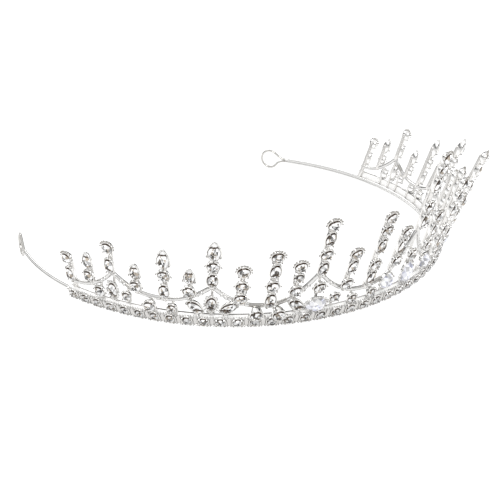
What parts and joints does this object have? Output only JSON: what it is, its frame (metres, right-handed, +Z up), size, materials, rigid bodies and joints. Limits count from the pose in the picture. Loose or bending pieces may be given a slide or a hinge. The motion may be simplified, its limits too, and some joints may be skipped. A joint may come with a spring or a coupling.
{
  "type": "crown headband",
  "caption": "Tiara with a stone-set band, a scalloped wire and upright stone-set spires that rise to the centre, on a double wire headband with an eyelet at each end.",
  "frame": {"origin": "centre of the front arc of the headband, on the surface that the tiara stands on", "axes": "+Z up, -Y out of the front of the tiara, +X towards the wearer's left, across the tiara"},
  "size_m": [0.1616, 0.139, 0.0505],
  "materials": {
    "headband_silver": "polished silver plate on round wire",
    "cast_silver": "bright silver plate on a tin and zinc casting",
    "rhinestone": "clear faceted glass with a mirrored back",
    "crystal": "larger clear faceted glass with a faint blue cast"
  },
  "bodies": {
    "root": {"front_wire": "headband_silver", "side_wire_left": "headband_silver", "side_wire_right": "headband_silver", "eyelet_left": "headband_silver", "eyelet_right": "headband_silver", "crown_frame": "cast_silver", "band_stones": "rhinestone", "spire_stones": "rhinestone", "garland_stones": "rhinestone", "tip_stone_01": "rhinestone", "tip_stone_02": "rhinestone", "tip_stone_03": "rhinestone", "tip_stone_04": "rhinestone", "tip_stone_05": "rhinestone", "tip_stone_06": "rhinestone", "tip_stone_07": "rhinestone", "tip_stone_08": "rhinestone", "tip_stone_09": "rhinestone", "tip_stone_10": "rhinestone", "tip_stone_11": "rhinestone", "tip_stone_12": "rhinestone", "tip_stone_13": "rhinestone", "tip_stone_14": "rhinestone", "tip_stone_15": "rhinestone", "tip_stone_16": "rhinestone", "tip_stone_17": "rhinestone", "tip_stone_18": "rhinestone", "tip_stone_19": "rhinestone", "tip_stone_20": "rhinestone", "tip_stone_21": "rhinestone", "tip_stone_22": "rhinestone", "tip_stone_23": "rhinestone", "tip_stone_24": "rhinestone", "tip_stone_25": "rhinestone", "tip_stone_26": "rhinestone", "tip_stone_27": "rhinestone", "tip_stone_28": "rhinestone", "tip_stone_29": "rhinestone", "palmette_stone_01": "crystal", "palmette_stone_02": "crystal", "palmette_stone_03": "crystal", "palmette_stone_04": "crystal", "palmette_stone_05": "crystal", "palmette_stone_06": "crystal", "palmette_stone_07": "crystal"}
  },
  "joints": []
}
